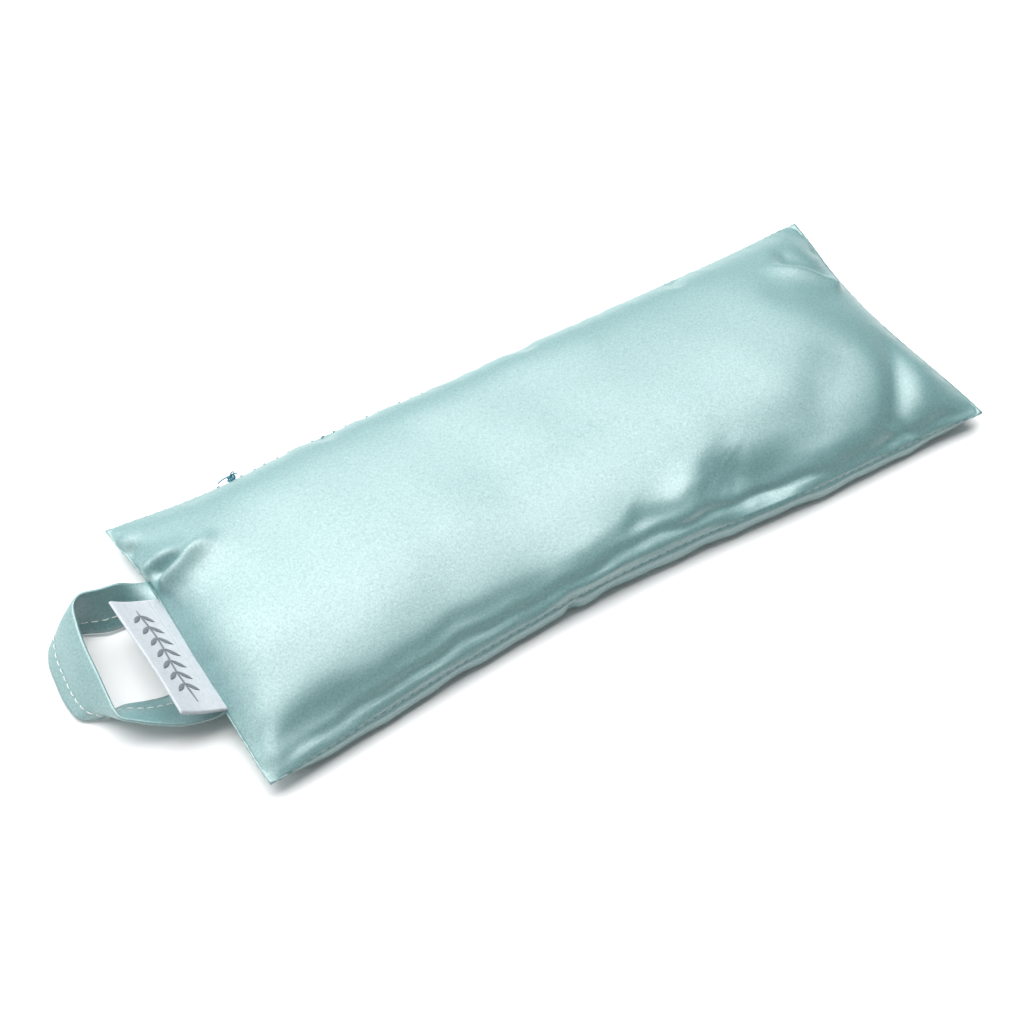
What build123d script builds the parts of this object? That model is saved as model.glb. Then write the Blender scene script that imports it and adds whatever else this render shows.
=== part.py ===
from build123d import *
import os
from math import sqrt

# Satin eye pillow with a hanging loop and a folded label, in millimetres.
# The origin is the middle of the flat underside, which rests on a table.
# +X runs to the plain end, -X to the end with the loop, +Z up.

# ---- driving dimensions ----
LENGTH = 250.0           # corner to corner, along X
WIDTH = 93.5             # corner to corner, along Y
THICKNESS = 22.0         # underside to crown
SEAM_HEIGHT = 6.0        # height of the seam line between the two panels
FABRIC = 0.5             # cover cloth with its seam allowance pressed flat
ALLOWANCE = 6.0          # depth of the turned-in seam allowance
CORNER_RADIUS = 3.0

POUCH_INSET = 7.5        # the inner pouch lies inside the seam allowance
POUCH_CLOTH = 0.4
POUCH_CLEARANCE = 0.5    # between cover and pouch, and between pouch and seed
BUD_LAYER = 2.4          # space over the seed where the lavender buds lie

STITCH_LENGTH = 2.0
STITCH_PITCH = 2.8
THREAD = 0.4
SEAM_DEPTH = 1.5         # how far inside the edge the seam thread runs
CLOSING_START = -90.0    # the hand-closed filling gap in the far seam, along X
CLOSING_END = -18.0

STRAP_WIDTH = 13.5       # satin strip folded lengthwise
STRAP_THICKNESS = 1.2
HEM_OFFSET = 3.6         # stitch row to the open edge of the strap

LABEL_LENGTH = 40.0      # along the seam
LABEL_DEPTH = 15.5       # seam to the folded free edge
LABEL_THICKNESS = 0.8    # two layers of woven tape
LABEL_TILT = 35.0        # degrees above the table
LABEL_CENTRE_Y = -1.9
MOTIF_LENGTH = 22.0      # the sprig woven into the label
LEAF_PITCH = 5.0

HINGE_X = -LENGTH / 2 - 1.2          # where loop and label leave the seam
LABEL_HINGE_Z = SEAM_HEIGHT + 2.5

# The strap's two edges from its far root round to its near root:
# (folded edge, open edge) at each station.
STRAP_STATIONS = [
    ((-126.4, 25.0, 7.0), (-126.4, 11.2, 6.4)),
    ((-130.5, 25.3, 10.3), (-131.3, 15.2, 1.9)),
    ((-136.5, 25.5, 12.8), (-137.5, 19.6, 1.0)),
    ((-141.6, 25.8, 14.0), (-143.8, 22.6, 0.8)),
    ((-144.6, 23.6, 14.0), (-150.9, 23.8, 0.8)),
    ((-146.0, 18.0, 13.3), (-154.9, 18.6, 0.8)),
    ((-147.2, 10.5, 12.6), (-156.5, 11.5, 0.8)),
    ((-148.0, 3.0, 11.8), (-157.0, 4.5, 0.8)),
    ((-148.6, -4.2, 10.8), (-155.6, -1.6, 0.8)),
    ((-148.8, -11.0, 10.2), (-150.4, -3.8, 0.8)),
    ((-146.0, -13.6, 9.2), (-145.0, -3.8, 0.8)),
    ((-141.5, -16.4, 7.4), (-139.3, -5.6, 1.0)),
    ((-135.5, -19.6, 6.2), (-133.3, -7.4, 2.0)),
    ((-126.4, -22.3, 6.8), (-126.4, -8.6, 6.4)),
]

# How far each level of the crown has risen, from the seam (0) to the top (1).
CROWN_LEVELS = [0.0, 0.35, 0.65, 0.85, 0.97]
CORNER_RADII = [1.0, 2.4, 4.5, 5.5, 3.0]     # times CORNER_RADIUS
END_RUN = 50.0                               # length over which the ends slope up
END_THINNING = 1.4                           # keeps a layer's thickness on those slopes
# The underside curls in from the seam to the flat rest: (fall, inset in X, inset in Y).
BELLY_LEVELS = [(0.0, 0.0, 0.0), (0.5, 4.0, 2.4), (0.85, 9.0, 6.0), (1.0, 15.0, 10.0)]


def crown_sections(inset, base, rise, thinning=0.0):
    """Outlines of a crowned dome, stacked from its base, set in from the pillow's edge.

    The ends slope gently, so a dome that hollows another is thinned there as well.
    """
    sections = []
    for level, corner in zip(CROWN_LEVELS, CORNER_RADII):
        end_inset = END_RUN * (1 - sqrt(1 - level)) + thinning
        side_inset = (WIDTH / 2 - inset) * (1 - sqrt(1 - level ** 2))
        with BuildSketch(Plane.XY.offset(base + rise * level)) as outline:
            RectangleRounded(
                LENGTH - 2 * (inset + end_inset),
                WIDTH - 2 * (inset + side_inset),
                CORNER_RADIUS * corner,
            )
        sections.append(outline.sketch.face())
    return sections


def belly_sections(inset, base, fall):
    """Outlines of the shallow tray under the seam, stacked downwards from its rim."""
    sections = []
    for level, end_inset, side_inset in BELLY_LEVELS:
        with BuildSketch(Plane.XY.offset(base - fall * level)) as outline:
            RectangleRounded(
                LENGTH - 2 * (inset + end_inset),
                WIDTH - 2 * (inset + side_inset),
                CORNER_RADIUS + side_inset / 2,
            )
        sections.append(outline.sketch.face())
    return sections


def seam_row(centre, angle, run):
    """Outlines of a straight row of stitches, centred on the seam."""
    count = int(run // STITCH_PITCH)
    with BuildSketch(Plane(centre, x_dir=Vector(1, 0, 0).rotate(Axis.Z, angle))) as row:
        with GridLocations(STITCH_PITCH, 1, count, 1):
            Rectangle(STITCH_LENGTH, THREAD)
    return row.sketch


def finish(part, name):
    """Label a finished piece and write its STEP file."""
    part.label = name
    export_step(part, f"parts/{name}.step")


os.makedirs("parts", exist_ok=True)
crown_rise = THICKNESS - SEAM_HEIGHT

# ---- cover: two satin panels, each with its allowance turned in along the seam ----
with BuildPart() as cover_top_panel:
    loft(crown_sections(0, SEAM_HEIGHT, crown_rise))
    hollow = crown_sections(FABRIC, SEAM_HEIGHT + FABRIC, crown_rise - 2 * FABRIC, END_THINNING)
    loft(hollow, mode=Mode.SUBTRACT)
    with BuildSketch(Plane.XY.offset(SEAM_HEIGHT)):
        RectangleRounded(LENGTH - 2 * ALLOWANCE, WIDTH - 2 * ALLOWANCE, CORNER_RADIUS)
    extrude(amount=2 * FABRIC, mode=Mode.SUBTRACT)
finish(cover_top_panel.part, "cover_top_panel")

with BuildPart() as cover_bottom_panel:
    loft(belly_sections(0, SEAM_HEIGHT, SEAM_HEIGHT))
    loft(belly_sections(FABRIC, SEAM_HEIGHT - FABRIC, SEAM_HEIGHT - 2 * FABRIC), mode=Mode.SUBTRACT)
    with BuildSketch(Plane.XY.offset(SEAM_HEIGHT)):
        RectangleRounded(LENGTH - 2 * ALLOWANCE, WIDTH - 2 * ALLOWANCE, CORNER_RADIUS)
    extrude(amount=-2 * FABRIC, mode=Mode.SUBTRACT)
finish(cover_bottom_panel.part, "cover_bottom_panel")

# ---- seam thread: four rows, and the hand-closed gap in the far one ----
stitch_half_height = FABRIC + THREAD / 2
side_y = WIDTH / 2 - SEAM_DEPTH
end_x = LENGTH / 2 - SEAM_DEPTH
side_run = LENGTH - 4 * SEAM_DEPTH
end_run = WIDTH - 6 * SEAM_DEPTH

with BuildPart() as near_side_stitching:
    extrude(seam_row((0, -side_y, SEAM_HEIGHT), 0, side_run), stitch_half_height, both=True)
finish(near_side_stitching.part, "near_side_stitching")

with BuildPart() as far_side_stitching:
    for start, end in [(-side_run / 2, CLOSING_START), (CLOSING_END, side_run / 2)]:
        row = seam_row(((start + end) / 2, side_y, SEAM_HEIGHT), 0, end - start)
        extrude(row, stitch_half_height, both=True)
finish(far_side_stitching.part, "far_side_stitching")

with BuildPart() as loop_end_stitching:
    extrude(seam_row((-end_x, 0, SEAM_HEIGHT), 90, end_run), stitch_half_height, both=True)
finish(loop_end_stitching.part, "loop_end_stitching")

with BuildPart() as plain_end_stitching:
    extrude(seam_row((end_x, 0, SEAM_HEIGHT), 90, end_run), stitch_half_height, both=True)
finish(plain_end_stitching.part, "plain_end_stitching")

closing_centre = (CLOSING_START + CLOSING_END) / 2
closing_count = int((CLOSING_END - CLOSING_START) // (1.5 * STITCH_PITCH))
with BuildPart() as closing_stitches:
    with BuildSketch(Plane((closing_centre, side_y, SEAM_HEIGHT))):
        with GridLocations(1.5 * STITCH_PITCH, 1, closing_count, 1):
            SlotOverall(STITCH_LENGTH, 1.5 * THREAD, rotation=60)
    extrude(amount=stitch_half_height, both=True)
finish(closing_stitches.part, "closing_stitches")

# Knotted thread ends that stand out of the far seam at the end of the closed gap.
knot_centre = Vector(CLOSING_START + 4, WIDTH / 2 + 0.9, SEAM_HEIGHT + 1.0)
with BuildPart() as closing_thread_knot:
    with Locations(knot_centre):
        Sphere(0.8)
    for lean in (-50, 15):
        with BuildSketch(Plane(knot_centre, z_dir=Vector(0, 0.5, 1).rotate(Axis.Y, lean))):
            Circle(0.3)
        extrude(amount=4.5)
finish(closing_thread_knot.part, "closing_thread_knot")

# ---- inner pouch and what it holds ----
pouch_top_rise = crown_rise - FABRIC - POUCH_CLEARANCE
pouch_fall = SEAM_HEIGHT - FABRIC - POUCH_CLEARANCE
seed_inset = POUCH_INSET + POUCH_CLOTH + POUCH_CLEARANCE

with BuildPart() as inner_pouch_top:
    loft(crown_sections(POUCH_INSET, SEAM_HEIGHT, pouch_top_rise))
    hollow = crown_sections(
        POUCH_INSET + POUCH_CLOTH, SEAM_HEIGHT, pouch_top_rise - POUCH_CLOTH, END_THINNING
    )
    loft(hollow, mode=Mode.SUBTRACT)
finish(inner_pouch_top.part, "inner_pouch_top")

with BuildPart() as inner_pouch_bottom:
    loft(belly_sections(POUCH_INSET, SEAM_HEIGHT, pouch_fall))
    hollow = belly_sections(POUCH_INSET + POUCH_CLOTH, SEAM_HEIGHT, pouch_fall - POUCH_CLOTH)
    loft(hollow, mode=Mode.SUBTRACT)
finish(inner_pouch_bottom.part, "inner_pouch_bottom")

pouch_edge_y = WIDTH / 2 - POUCH_INSET - POUCH_CLOTH / 2
pouch_edge_x = LENGTH / 2 - POUCH_INSET - POUCH_CLOTH / 2
pouch_corner = 8.0       # the pouch's stitch rows stop this far short of each other
with BuildPart() as inner_pouch_stitching:
    for side in (-1, 1):
        long_row = seam_row((0, side * pouch_edge_y, SEAM_HEIGHT), 0, 2 * pouch_edge_x - pouch_corner)
        end_row = seam_row((side * pouch_edge_x, 0, SEAM_HEIGHT), 90, 2 * pouch_edge_y - pouch_corner)
        extrude(long_row, 2 * POUCH_CLOTH, both=True)
        extrude(end_row, 2 * POUCH_CLOTH, both=True)
finish(inner_pouch_stitching.part, "inner_pouch_stitching")

seed_rise = pouch_top_rise - POUCH_CLOTH - BUD_LAYER
seed_fall = pouch_fall - POUCH_CLOTH - POUCH_CLEARANCE
with BuildPart() as seed_filling:
    loft(crown_sections(seed_inset, SEAM_HEIGHT, seed_rise, 2 * END_THINNING))
    loft(belly_sections(seed_inset, SEAM_HEIGHT, seed_fall))
finish(seed_filling.part, "seed_filling")

# Dried lavender buds lying over the seed.
bud_level = SEAM_HEIGHT + seed_rise * CROWN_LEVELS[-1] + 0.9
with BuildPart() as lavender_buds:
    with Locations((0, 0, bud_level)):
        with GridLocations(11.0, 5.0, 13, 3):
            Cylinder(0.75, 3.6, rotation=(0, 90, 0))
    fillet(lavender_buds.edges().filter_by(GeomType.CIRCLE), 0.5)
finish(lavender_buds.part, "lavender_buds")

# ---- hanging loop: one strap twisted from its flat roots to stand on its open edge ----
folded_edge = [Vector(*folded) for folded, _ in STRAP_STATIONS]
open_edge = [Vector(*opened) for _, opened in STRAP_STATIONS]
strap_middle = [(a + b) / 2 for a, b in zip(folded_edge, open_edge)]
last = len(STRAP_STATIONS) - 1


def strap_plane(index):
    """Cross-section plane of the strap: x towards the folded edge, z along the strap."""
    across = (folded_edge[index] - open_edge[index]).normalized()
    along = strap_middle[min(index + 1, last)] - strap_middle[max(index - 1, 0)]
    if index in (0, last):
        along = Vector(-1 if index == 0 else 1, 0, 0)
    along = along - across * along.dot(across)
    return Plane(strap_middle[index], x_dir=across, z_dir=along.normalized())


with BuildPart() as loop_strap:
    for index in range(last + 1):
        with BuildSketch(strap_plane(index)):
            Rectangle(STRAP_WIDTH, STRAP_THICKNESS)
    loft(ruled=True)
finish(loop_strap.part, "loop_strap")

# White stitches along the open edge, passing through the strap.
with BuildPart() as loop_edge_stitching:
    for index in range(last):
        here = strap_plane(index)
        there = strap_plane(index + 1)
        middle = (here.origin + there.origin) / 2
        across = (here.x_dir + there.x_dir).normalized()
        along = there.origin - here.origin
        along = (along - across * along.dot(across)).normalized()
        row = middle - across * (STRAP_WIDTH / 2 - HEM_OFFSET)
        with BuildSketch(Plane(row, x_dir=along, z_dir=along.cross(across))):
            Rectangle(STITCH_LENGTH, THREAD)
        extrude(amount=(STRAP_THICKNESS + THREAD) / 2, both=True)
finish(loop_edge_stitching.part, "loop_edge_stitching")

# ---- label: woven tape folded double, its fold at the free edge ----
label_root = Vector(HINGE_X - 0.3, LABEL_CENTRE_Y, LABEL_HINGE_Z)
label_plane = Plane(
    label_root,
    x_dir=Vector(-1, 0, 0).rotate(Axis.Y, LABEL_TILT),
    z_dir=Vector(0, 0, 1).rotate(Axis.Y, LABEL_TILT),
)
with BuildPart() as label:
    with BuildSketch(label_plane):
        with Locations((LABEL_DEPTH / 2, 0)):
            Rectangle(LABEL_DEPTH, LABEL_LENGTH)
    extrude(amount=LABEL_THICKNESS / 2, both=True)
    fold = label.edges().filter_by(Axis.Y).group_by(Axis.X)[0]
    fillet(fold, LABEL_THICKNESS * 0.45)
finish(label.part, "label")

# A leaf sprig woven in a darker yarn, standing a hair proud of the tape.
with BuildPart() as label_woven_motif:
    with BuildSketch(label_plane.offset(LABEL_THICKNESS / 2)):
        with Locations((LABEL_DEPTH / 2, 0)):
            Rectangle(0.5, MOTIF_LENGTH)
            for side in (-1, 1):
                with GridLocations(1, LEAF_PITCH, 1, 4):
                    with Locations((side * 1.9, 1.0)):
                        Ellipse(2.1, 0.8, rotation=side * 40)
    extrude(amount=0.1)
finish(label_woven_motif.part, "label_woven_motif")
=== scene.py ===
import math

import bmesh
import bpy
import numpy as np
from mathutils import Matrix, Vector


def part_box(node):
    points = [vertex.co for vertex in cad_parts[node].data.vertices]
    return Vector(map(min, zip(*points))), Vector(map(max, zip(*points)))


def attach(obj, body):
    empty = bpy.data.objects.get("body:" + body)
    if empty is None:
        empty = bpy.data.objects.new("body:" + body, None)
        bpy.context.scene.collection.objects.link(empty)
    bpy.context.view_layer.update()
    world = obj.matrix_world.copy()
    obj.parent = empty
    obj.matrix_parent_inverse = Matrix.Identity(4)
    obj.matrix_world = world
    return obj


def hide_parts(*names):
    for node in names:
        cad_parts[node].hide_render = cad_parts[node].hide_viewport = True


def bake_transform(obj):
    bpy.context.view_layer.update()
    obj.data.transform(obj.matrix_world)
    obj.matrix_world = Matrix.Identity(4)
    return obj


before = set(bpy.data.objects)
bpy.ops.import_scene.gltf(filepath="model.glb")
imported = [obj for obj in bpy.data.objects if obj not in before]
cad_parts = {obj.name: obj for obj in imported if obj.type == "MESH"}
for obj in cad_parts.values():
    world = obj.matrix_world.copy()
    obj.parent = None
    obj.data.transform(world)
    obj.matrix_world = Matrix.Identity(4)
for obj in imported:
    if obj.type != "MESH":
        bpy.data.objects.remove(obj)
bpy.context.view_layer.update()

# Lengths below are in millimetres, as in the CAD source; place_piece() turns them into metres.
MM = 0.001
TOP_LOW, TOP_HIGH = [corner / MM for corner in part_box("cover_top_panel")]
HALF_LENGTH = TOP_HIGH.x
HALF_WIDTH = TOP_HIGH.y
SEAM_HEIGHT = TOP_LOW.z
THICKNESS = 22.0         # of the filled form from which the cloth starts

# The cloth grid of one panel: cells along X and across Y, and how finely it is resampled.
CELLS_X = 108
CELLS_Y = 42
REFINE = 3
FLAT_LENGTH = 256.0      # each panel between its seams, before the bag was filled
FLAT_WIDTH = 98.0
CLOTH = 0.4              # thickness of the satin
MUSLIN_CLOTH = 0.25

# The strap's two edges from its far root round to its near root: (folded edge, open edge).
STRAP_WIDTH = 13.5
STRAP_HALF = 0.55        # half the folded strap's thickness
STRAP_GAP = 0.06         # half the gap between its two layers
STRAP_STATIONS = [
    ((-122.6, 24.6, 6.9), (-122.6, 11.2, 6.3)),
    ((-126.2, 25, 8.6), (-126.4, 13, 3.2)),
    ((-130.5, 25.3, 11.6), (-130.8, 18.2, 1)),
    ((-136.5, 25.5, 12.8), (-137.5, 19.6, 1)),
    ((-141.6, 25.8, 14), (-143.8, 22.6, 0.8)),
    ((-144.6, 23.6, 14), (-150.9, 23.8, 0.8)),
    ((-146, 18, 13.3), (-154.9, 18.6, 0.8)),
    ((-147.2, 10.5, 12.6), (-156.5, 11.5, 0.8)),
    ((-148, 3, 11.8), (-157, 4.5, 0.8)),
    ((-148.6, -4.2, 10.8), (-155.6, -1.6, 0.8)),
    ((-148.8, -11, 10.2), (-150.4, -3.8, 0.8)),
    ((-146, -13.6, 9.2), (-145, -3.8, 0.8)),
    ((-141.5, -16.4, 7.4), (-139.3, -5.6, 1)),
    ((-135.5, -19.6, 6.2), (-133.3, -7.4, 2)),
    ((-126.4, -22.3, 6.8), (-126.4, -8.6, 6.4)),
    ((-122.6, -22, 6.8), (-122.6, -8.6, 6.4)),
]
STITCH_ROW = 3.6         # from the strap's open edge
STRAP_STITCH_PITCH = 2.6
STRAP_THREAD_RADIUS = 0.16

CLOSING_START = -90.0    # the hand-closed filling gap in the far seam
CLOSING_END = -18.0
CLOSING_THREAD_RADIUS = 0.17
POUCH_INSET = 7.5        # the inner pouch lies inside the cover's seam allowance

LABEL_NEAR_Y = -21.9
LABEL_FAR_Y = 18.1
LABEL_DEPTH = 15.5       # the reach at which its edges sway fully
LABEL_TILT = 37.0        # degrees above the table
LABEL_ROOT = Vector((-123.3, 0.0, 6.9))
LABEL_SPLIT = 2.6        # along its slope, where the sewn-in edge gives way to the free flap
LABEL_REACH = 16.6       # from the root to the fold
LABEL_HALF = 0.42        # half the folded label's thickness
LABEL_GAP = 0.07         # half the gap between its two layers
LABEL_BOW = 0.5          # how far the flap bows up between its root and its fold
LABEL_FACE = -1          # which way its upper face looks along the strip's normal


# ---- camera, lights and floor ----
CAMERA_PLACE = Vector((-235.0, -254.1, 438.0))
CAMERA_AIM = Vector((-22.4, -5.1, 6.0))
CAMERA_ROLL = 8.3        # degrees; the camera's right side is raised
CAMERA_LENS = 66.54


def set_inputs(node, **values):
    """Gives a shader node's inputs their values; an underscore stands for a space in a name."""
    for key, value in values.items():
        node.inputs[key.replace("_", " ")].default_value = value


def new_object(name, data):
    found = bpy.data.objects.new(name, data)
    bpy.context.scene.collection.objects.link(found)
    return found


def make_camera():
    data = bpy.data.cameras.new("camera")
    data.lens = CAMERA_LENS
    data.sensor_width = 36.0
    data.clip_start = 0.01
    data.clip_end = 20.0
    camera = new_object("camera", data)
    turn = (CAMERA_AIM - CAMERA_PLACE).to_track_quat("-Z", "Y").to_matrix()
    roll = Matrix.Rotation(math.radians(CAMERA_ROLL), 3, "Z")
    camera.matrix_world = Matrix.Translation(CAMERA_PLACE * MM) @ (turn @ roll).to_4x4()
    bpy.context.scene.camera = camera


def area_light(name, place, size, power):
    """A rectangular light that faces the origin."""
    data = bpy.data.lights.new(name, "AREA")
    data.shape = "RECTANGLE"
    data.size, data.size_y = size
    data.energy = power
    turn = (-Vector(place)).to_track_quat("-Z", "Y").to_matrix().to_4x4()
    new_object(name, data).matrix_world = Matrix.Translation(place) @ turn


def square_mesh(name, reach):
    """A flat square at height zero that reaches that far to each side."""
    mesh = bpy.data.meshes.new(name)
    corners = [(-reach, -reach, 0), (reach, -reach, 0), (reach, reach, 0), (-reach, reach, 0)]
    mesh.from_pydata(corners, [], [(0, 1, 2, 3)])
    return mesh


def make_studio():
    world = bpy.data.worlds.new("studio")
    bpy.context.scene.world = world
    world.use_nodes = True
    background = world.node_tree.nodes["Background"]
    set_inputs(background, Color=(1, 1, 1, 1), Strength=0.19)
    bpy.context.scene.view_settings.view_transform = "Standard"
    area_light("overhead", (0.0, 0.4, 1.5), (2.4, 1.0), 38.0)
    area_light("window", (-0.25, 1.45, 1.3), (3.5, 1.0), 32.0)
    area_light("side", (-1.6, 0.4, 0.7), (1.3, 0.9), 7.0)
    floor = new_object("floor", square_mesh("floor", 6.0))
    material = bpy.data.materials.new("floor")
    material.use_nodes = True
    shader = material.node_tree.nodes["Principled BSDF"]
    set_inputs(shader, Base_Color=(0.93, 0.93, 0.93, 1), Roughness=0.8, Specular_IOR_Level=0.1)
    floor.data.materials.append(material)


# ---- mesh helpers ----
def face_outwards(obj):
    """Turns all faces of a closed mesh outwards."""
    work = bmesh.new()
    work.from_mesh(obj.data)
    bmesh.ops.recalc_face_normals(work, faces=work.faces)
    work.to_mesh(obj.data)
    work.free()


def grid_faces(rows, columns, closed_columns=False):
    """Quads over a grid of points stored row by row."""
    faces = []
    for i in range(rows - 1):
        for j in range(columns if closed_columns else columns - 1):
            below = (i + 1) * columns
            right = (j + 1) % columns
            faces.append((i * columns + j, i * columns + right, below + right, below + j))
    return faces


def run_along(points):
    """The length along a polyline at each of its points."""
    return np.concatenate([[0], np.cumsum(np.linalg.norm(np.diff(points, axis=0), axis=1))])


def at_length(place, run, points):
    """The point of a polyline at a length along it, or its points at several."""
    return np.stack([np.interp(place, run, column) for column in points.T], -1)


def spline(points, count):
    """A smooth curve through points (Catmull-Rom, even in chord length), sampled count times."""
    points = np.asarray(points, float)
    padded = np.vstack([2 * points[0] - points[1], points, 2 * points[-1] - points[-2]])
    knots = np.concatenate([[0], np.cumsum(np.linalg.norm(np.diff(points, axis=0), axis=1) ** 0.5)])
    where = np.linspace(0, knots[-1], count)
    found = []
    for t in where:
        i = min(int(np.searchsorted(knots, t, side="right")) - 1, len(points) - 2)
        span = knots[i + 1] - knots[i]
        u = (t - knots[i]) / span
        a, b, c, d = padded[i:i + 4]
        before = knots[i] - knots[i - 1] if i > 0 else span
        after = knots[i + 2] - knots[i + 1] if i + 2 < len(knots) else span
        m1 = span * ((b - a) / before - (c - a) / (before + span) + (c - b) / span)
        m2 = span * ((c - b) / span - (d - b) / (span + after) + (d - c) / after)
        found.append(
            (2 * u**3 - 3 * u**2 + 1) * b + (u**3 - 2 * u**2 + u) * m1
            + (-2 * u**3 + 3 * u**2) * c + (u**3 - u**2) * m2
        )
    return np.array(found)


def tube(centres, radius, sides=6, taper=True):
    """Points and faces of a round thread along its centres, with rounded-off ends."""
    centres = np.asarray(centres, float)
    count = len(centres)
    along = np.gradient(centres, axis=0)
    along /= np.linalg.norm(along, axis=1)[:, None]
    side = np.cross(along[0], (0.31, 0.22, 0.93))
    rings = []
    for k in range(count):
        side = side - along[k] * side.dot(along[k])
        side /= np.linalg.norm(side)
        other = np.cross(along[k], side)
        share = min(k, count - 1 - k) / max(1, count - 1)
        r = radius * (min(1.0, 0.35 + 6 * share) if taper else 1.0)
        for turn in range(sides):
            angle = 2 * math.pi * turn / sides
            rings.append(centres[k] + r * (math.cos(angle) * side + math.sin(angle) * other))
    faces = grid_faces(count, sides, closed_columns=True)
    faces.append(tuple(range(sides))[::-1])
    faces.append(tuple((count - 1) * sides + s for s in range(sides)))
    return np.array(rings), faces


def gather(chunks):
    """Joins several (points, faces) into one."""
    points, faces, start = [], [], 0
    for chunk, its_faces in chunks:
        points.append(chunk)
        faces.extend(tuple(v + start for v in f) for f in its_faces)
        start += len(chunk)
    return np.vstack(points), faces


# ---- materials ----
FLOAT_GRAIN = (2900, 1250, 1900)     # how finely the satin's floats and slubs lie, per metre of X, Y and Z
SLUB_GRAIN = (1100, 2000, 1300)


class Paint:
    """A material and the node network behind it."""

    def __init__(self, name):
        self.material = bpy.data.materials.new(name)
        self.material.use_nodes = True
        self.nodes = self.material.node_tree.nodes
        self.link = self.material.node_tree.links.new
        self.shader = self.nodes["Principled BSDF"]

    def node(self, kind, **inputs):
        node = self.nodes.new("ShaderNode" + kind)
        set_inputs(node, **inputs)
        return node

    def space(self, stretch=(1, 1, 1), turn=0.0):
        """Object coordinates, stretched and turned about Z."""
        mapping = self.node("Mapping", Scale=stretch, Rotation=(0, 0, math.radians(turn)))
        self.link(self.node("TexCoord").outputs["Object"], mapping.inputs["Vector"])
        return mapping.outputs["Vector"]

    def noise(self, vector, scale, detail, roughness):
        texture = self.node("TexNoise", Scale=scale, Detail=detail, Roughness=roughness)
        self.link(vector, texture.inputs["Vector"])
        return texture.outputs["Fac"]

    def waves(self, vector, direction, **inputs):
        texture = self.node("TexWave", **inputs)
        texture.bands_direction = direction
        self.link(vector, texture.inputs["Vector"])
        return texture.outputs["Fac"]

    def mix(self, factor, first, second):
        """Two heights mixed into one."""
        found = self.node("Mix")
        found.data_type = "FLOAT"
        set_inputs(found, Factor=factor)
        self.link(first, found.inputs["A"])
        self.link(second, found.inputs["B"])
        return found.outputs["Result"]

    def ramp(self, factor, *stops):
        found = self.node("ValToRGB")
        elements = found.color_ramp.elements
        for element, (place, colour) in zip(elements, stops):
            element.position = place
            element.color = (*colour, 1)
        self.link(factor, found.inputs["Fac"])
        return found.outputs["Color"]

    def colour(self, colour):
        self.link(colour, self.shader.inputs["Base Color"])

    def bump(self, height, strength, distance):
        found = self.node("Bump", Strength=strength, Distance=distance)
        self.link(height, found.inputs["Height"])
        self.link(found.outputs["Normal"], self.shader.inputs["Normal"])


def satin(name, dark, light, grain_turn=0.0):
    """Polyester satin: long floats of the weave as a fine grain, and a broad soft sheen."""
    paint = Paint(name)
    floats, slubs = [
        paint.noise(paint.space(stretch, grain_turn), 1.0, 2.0, 0.6) for stretch in (FLOAT_GRAIN, SLUB_GRAIN)
    ]
    cloud = paint.noise(paint.space(), 22.0, 2.0, 0.5)
    grain = paint.mix(0.4, floats, slubs)
    tint = paint.node("Mix")
    tint.data_type = "RGBA"
    tint.blend_type = "MULTIPLY"
    set_inputs(tint, Factor=0.25)
    paint.link(paint.ramp(grain, (0.34, dark), (0.66, light)), tint.inputs["A"])
    paint.link(paint.ramp(cloud, (0.3, (0.86, 0.9, 0.9)), (0.7, (1, 1, 1))), tint.inputs["B"])
    paint.colour(tint.outputs["Result"])
    dull, glossy = (0.54,) * 3, (0.42,) * 3
    paint.link(paint.ramp(grain, (0.3, dull), (0.7, glossy)), paint.shader.inputs["Roughness"])
    paint.bump(grain, 0.5, 0.00012)
    set_inputs(paint.shader, Metallic=0.06, IOR=2.1, Specular_IOR_Level=0.75, Anisotropic=0.3,
               Sheen_Weight=0.12, Sheen_Roughness=0.4)
    return paint.material


def thread_material(name, colour):
    """Two-ply sewing thread: its twist as fine slanted stripes."""
    paint = Paint(name)
    twist = paint.waves(paint.space(), "DIAGONAL", Scale=900.0, Distortion=1.5)
    dark = tuple(0.72 * c for c in colour)
    paint.colour(paint.ramp(twist, (0.2, dark), (0.8, colour)))
    paint.bump(twist, 0.5, 0.0001)
    set_inputs(paint.shader, Roughness=0.6, Sheen_Weight=0.3)
    return paint.material


def woven(name, dark, light, threads, roughness, strength):
    """Plain weave seen as crossing waves, as fine as threads says."""
    paint = Paint(name)
    place = paint.space()
    crossing = paint.node("Math")
    crossing.operation = "MULTIPLY"
    for axis, height in zip("XY", crossing.inputs):
        wave = paint.waves(place, axis, Scale=threads / math.pi, Distortion=0.8, Detail_Scale=3.0)
        paint.link(wave, height)
    fleck = paint.noise(place, 900.0, 2.0, 0.5)
    both = paint.mix(0.45, crossing.outputs["Value"], fleck)
    paint.colour(paint.ramp(both, (0.15, dark), (0.6, light)))
    paint.bump(both, strength, 0.0001)
    set_inputs(paint.shader, Roughness=roughness, Sheen_Weight=0.2)
    return paint.material


def speckled(name, dark, light, roughness):
    """Small dry grains: colour that changes from grain to grain, over a lumpy surface."""
    paint = Paint(name)
    place = paint.space()
    cells = paint.node("TexVoronoi", Scale=420.0)
    paint.link(place, cells.inputs["Vector"])
    fleck = paint.noise(place, 260.0, 3.0, 0.6)
    paint.colour(paint.ramp(fleck, (0.35, dark), (0.65, light)))
    paint.bump(cells.outputs["Distance"], 0.8, 0.0006)
    set_inputs(paint.shader, Roughness=roughness)
    return paint.material


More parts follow.
